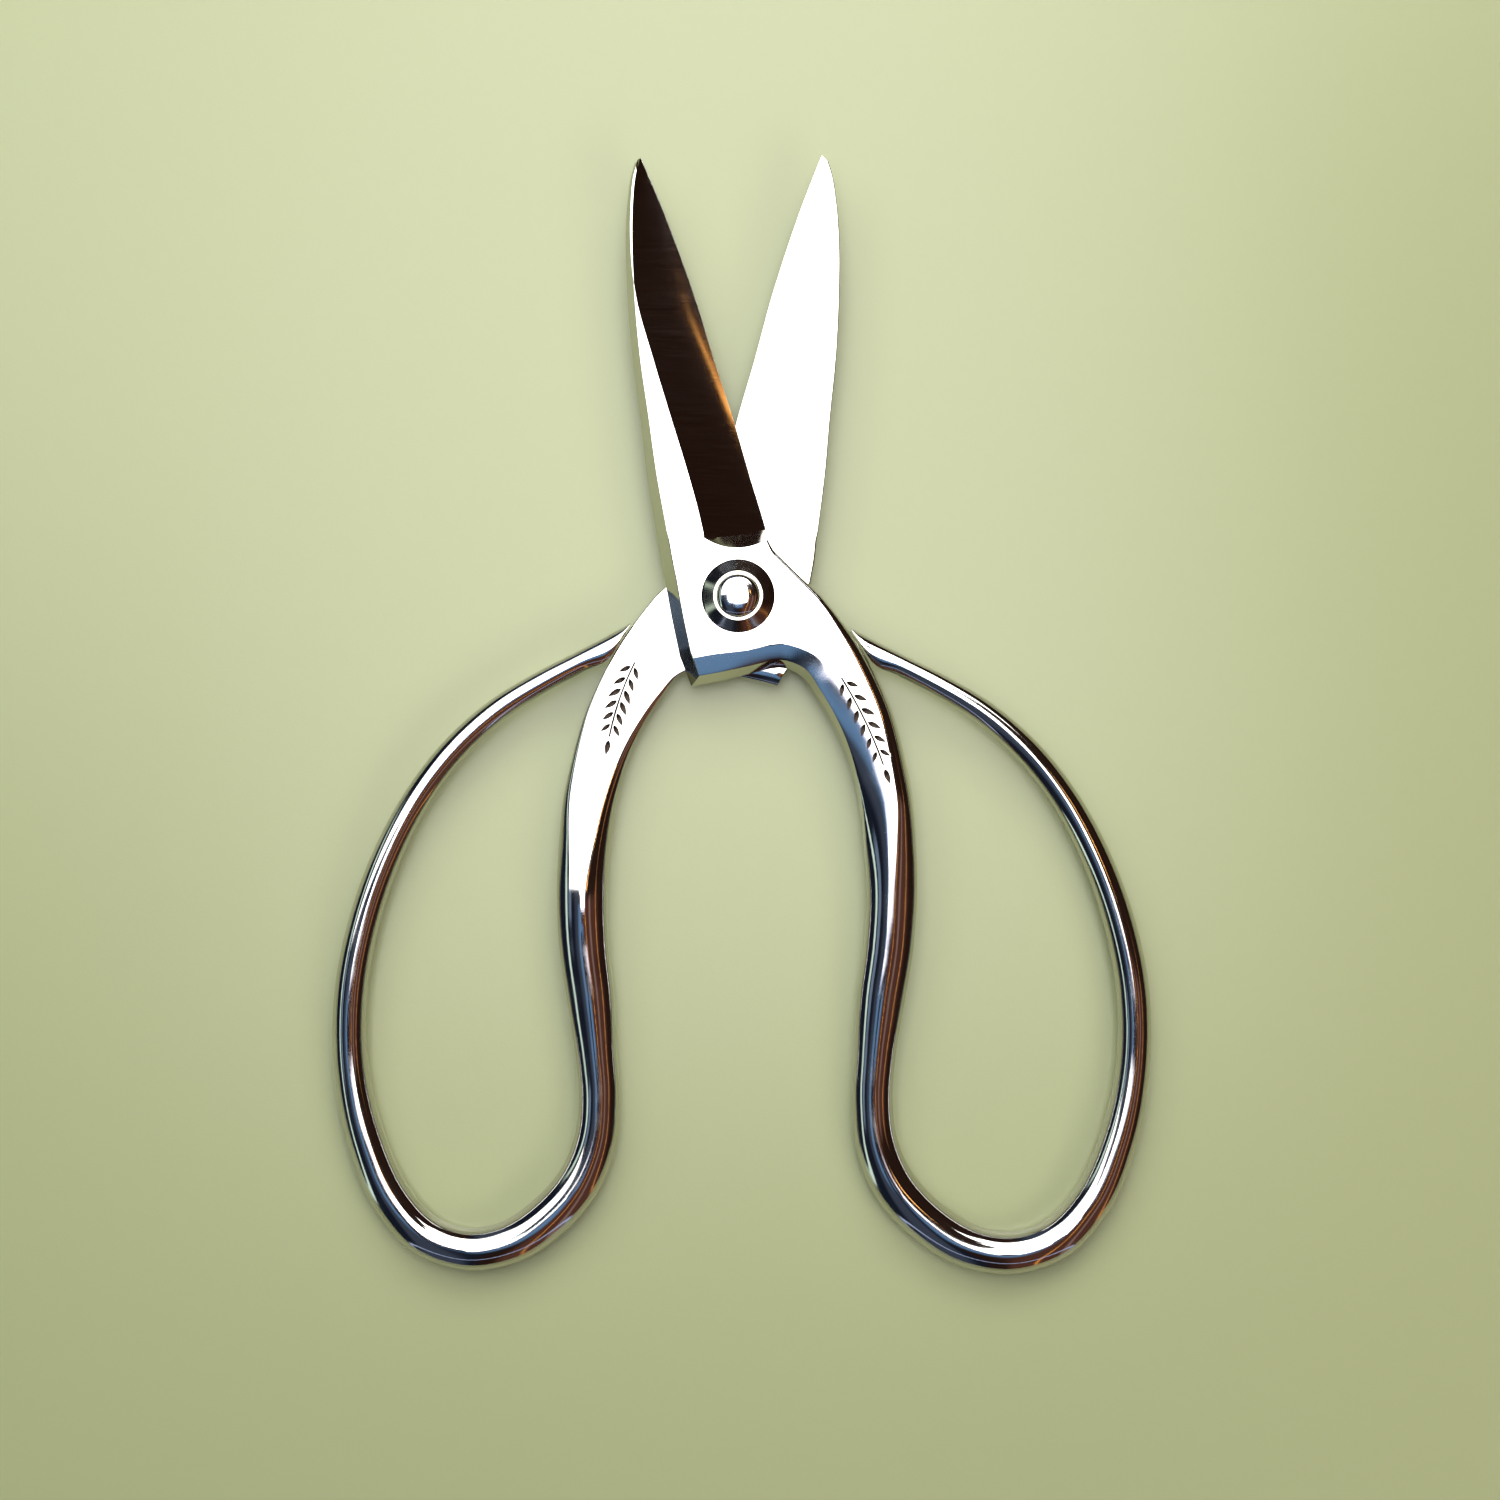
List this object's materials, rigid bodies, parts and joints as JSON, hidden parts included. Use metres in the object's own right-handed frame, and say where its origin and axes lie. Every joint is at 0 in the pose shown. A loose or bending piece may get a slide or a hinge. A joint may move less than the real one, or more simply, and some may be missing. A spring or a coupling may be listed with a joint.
{
  "type": "floral snips",
  "caption": "Forged steel flower snips: lapped blades with hollow-ground bevels and wide bent-bar finger loops, joined by a domed rivet.",
  "frame": {"origin": "centre of the small flat on the rear end of the pivot rivet, which the snips rest on; the pivot axis is the Z axis", "axes": "+Z along the pivot towards the front half, +Y between the open blades towards their tips, +X to the right seen from the front"},
  "size_m": [0.1263, 0.1726, 0.0139],
  "materials": {
    "polished_steel": "mirror polished, fine use scratches",
    "washer_steel": "turned and polished",
    "rivet_steel": "peened and polished, small dents"
  },
  "bodies": {
    "rear_half": {"rear_half": "polished_steel", "pivot_rivet": "rivet_steel", "front_washer": "washer_steel", "rear_washer": "washer_steel"},
    "front_half": {"front_half": "polished_steel"}
  },
  "joints": [
    {"name": "blade_pivot", "type": "hinge", "parent": "rear_half", "child": "front_half", "pos_m": [0, 0, 0], "axis": [0, 0, 1], "range_deg": [-24, 40]}
  ]
}
